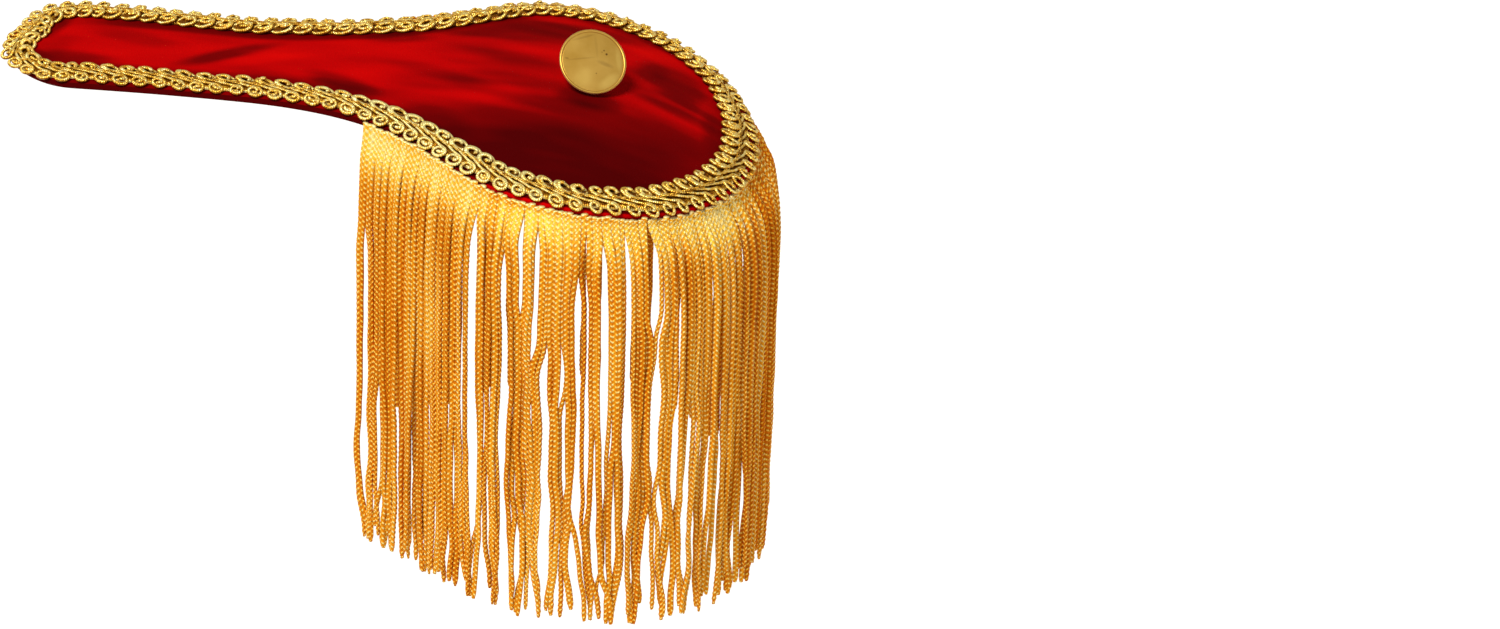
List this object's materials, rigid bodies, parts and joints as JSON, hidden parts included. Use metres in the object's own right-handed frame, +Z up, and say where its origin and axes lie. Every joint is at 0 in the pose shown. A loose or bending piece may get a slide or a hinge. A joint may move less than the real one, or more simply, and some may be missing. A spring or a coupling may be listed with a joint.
{
  "type": "bullion epaulette",
  "caption": "Velvet shoulder epaulette with a tongue, a round wide end, scroll gimp edging, a hanging chainette fringe, a plain button and a bar pin underneath.",
  "frame": {"origin": "where the epaulette is pinned on: the board's underside at the middle of the bar pin, 109 mm from the tongue's tip", "axes": "+X from the tongue's tip to the wide end, +Y to the back, +Z up, the fringe hangs along -Z"},
  "size_m": [0.226, 0.1336, 0.1644],
  "materials": {
    "velvet": "red velvet pile over a stiff board",
    "gold_gimp": "antique gold metallic thread, shiny",
    "gold_cord": "golden yellow rayon chainette cord, silky",
    "button_brass": "polished brass with a rolled rim and a few tarnish specks",
    "pin_steel": "nickel-plated steel"
  },
  "bodies": {
    "root": {"board": "velvet", "gimp_braid": "gold_gimp", "fringe": "gold_cord", "button": "button_brass", "pin_bar": "pin_steel"}
  },
  "joints": []
}
